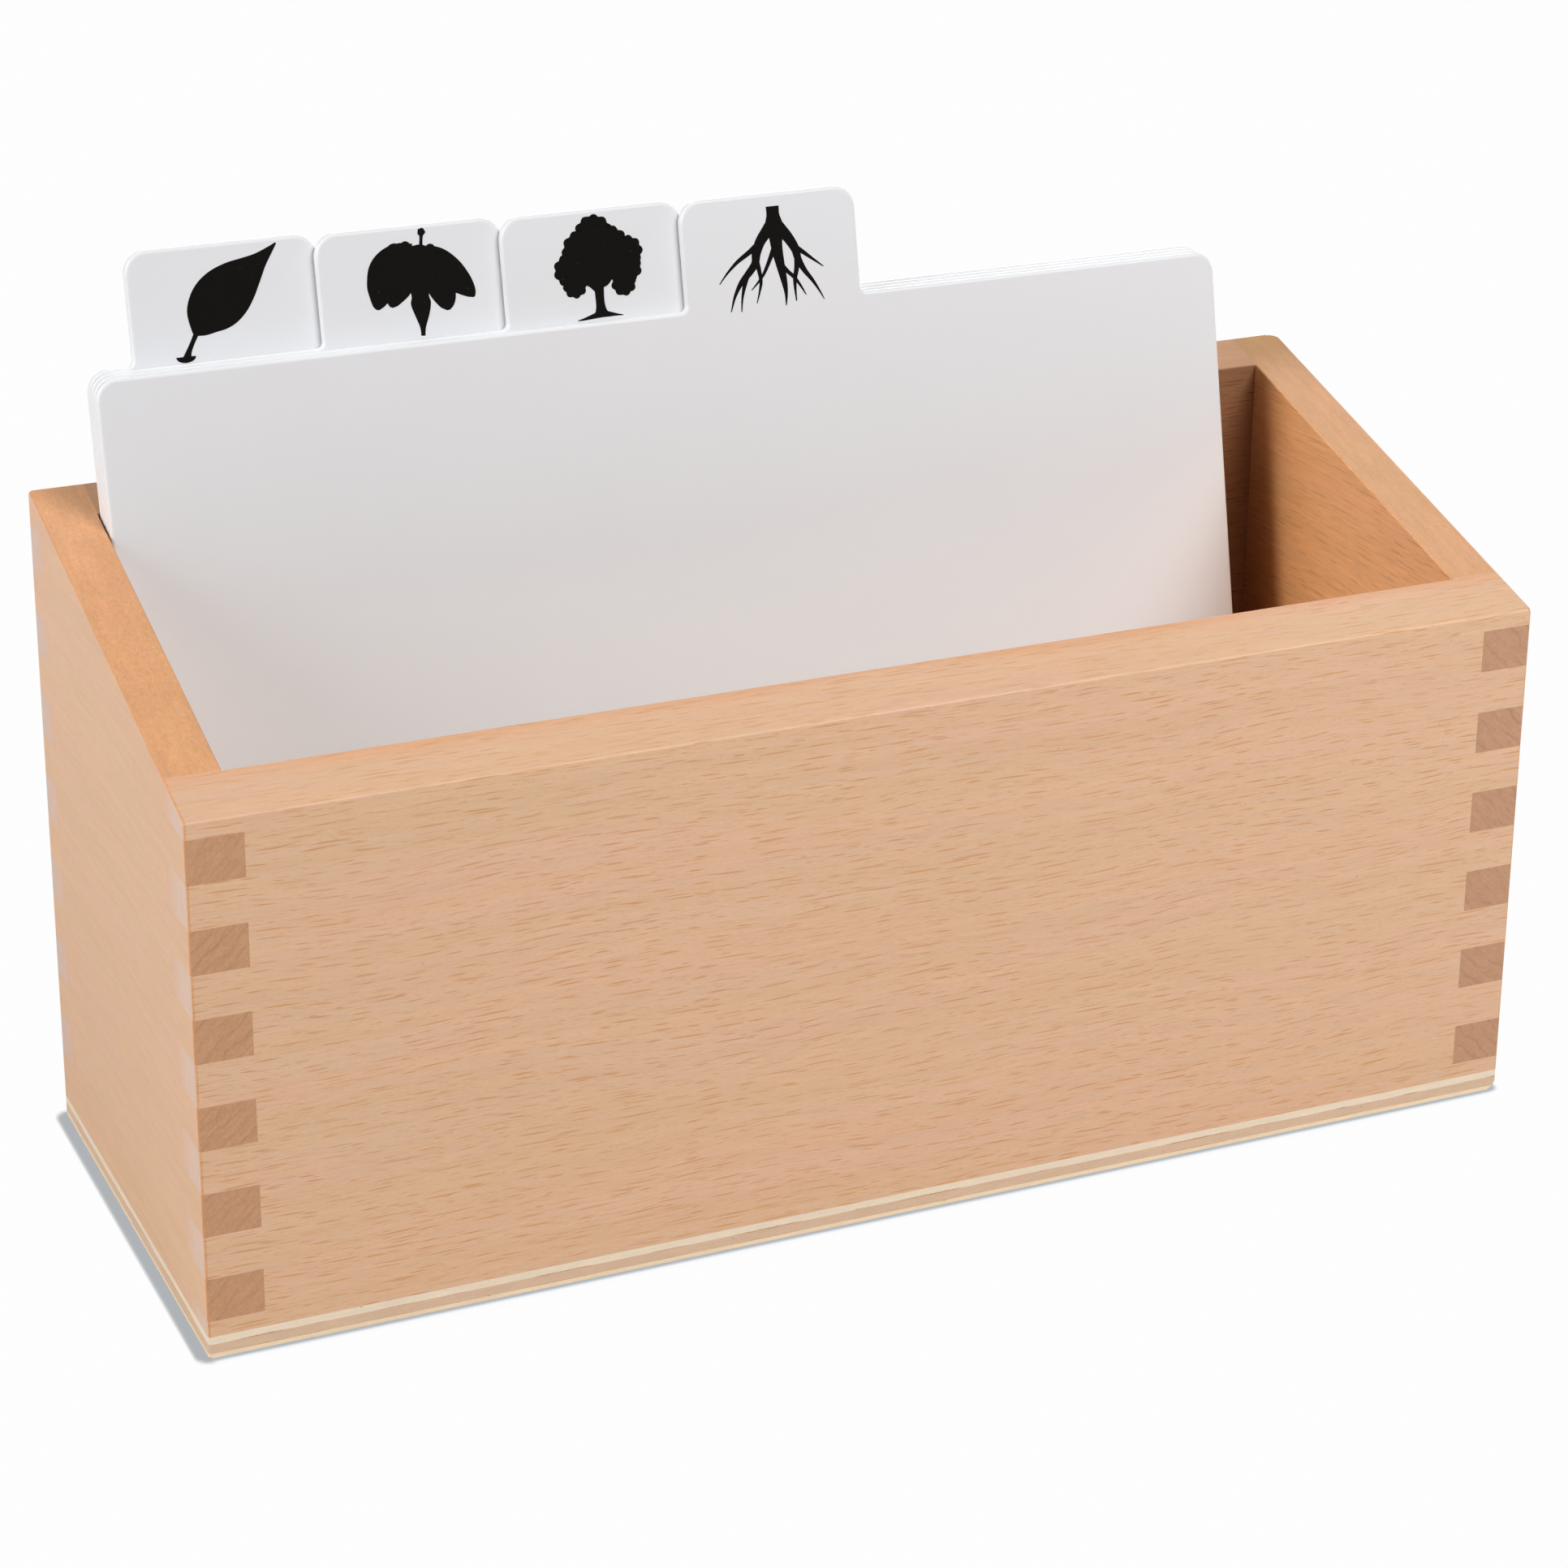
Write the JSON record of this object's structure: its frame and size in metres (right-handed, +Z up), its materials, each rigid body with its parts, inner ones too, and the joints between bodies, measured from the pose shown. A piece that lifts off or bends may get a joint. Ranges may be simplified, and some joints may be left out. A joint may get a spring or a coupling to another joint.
{
  "type": "card storage box",
  "caption": "Open wooden storage box with finger-jointed corners, a sloping top edge and leaning tabbed dividers that lift out, for sorting picture cards.",
  "frame": {"origin": "on the surface that the box stands on, under the middle of the box", "axes": "+X along the box to its right, +Y from the low front board to the high back board, +Z up"},
  "size_m": [0.254, 0.096, 0.1661],
  "materials": {
    "beech": "satin clear lacquer",
    "ply_face": "sanded, clear lacquer",
    "ply_core": "sanded end grain, clear lacquer",
    "divider_plastic": "fine matt",
    "ink": "matt print"
  },
  "bodies": {
    "box": {"front_panel": "beech", "back_panel": "beech", "left_side_panel": "beech", "right_side_panel": "beech", "base_top_ply": "ply_face", "base_core_ply": "ply_core", "base_bottom_ply": "ply_face"},
    "leaf_card": {"leaf_divider": "divider_plastic"},
    "flower_card": {"flower_divider": "divider_plastic"},
    "tree_card": {"tree_divider": "divider_plastic"},
    "root_card": {"root_divider": "divider_plastic"}
  },
  "joints": [
    {"name": "leaf_lift", "type": "slide", "parent": "box", "child": "leaf_card", "axis": [0, 0.2079, 0.9781], "range_m": [0, 0.13]},
    {"name": "flower_lift", "type": "slide", "parent": "box", "child": "flower_card", "axis": [0, 0.2079, 0.9781], "range_m": [0, 0.13]},
    {"name": "tree_lift", "type": "slide", "parent": "box", "child": "tree_card", "axis": [0, 0.2079, 0.9781], "range_m": [0, 0.13]},
    {"name": "root_lift", "type": "slide", "parent": "box", "child": "root_card", "axis": [0, 0.2079, 0.9781], "range_m": [0, 0.13]}
  ]
}
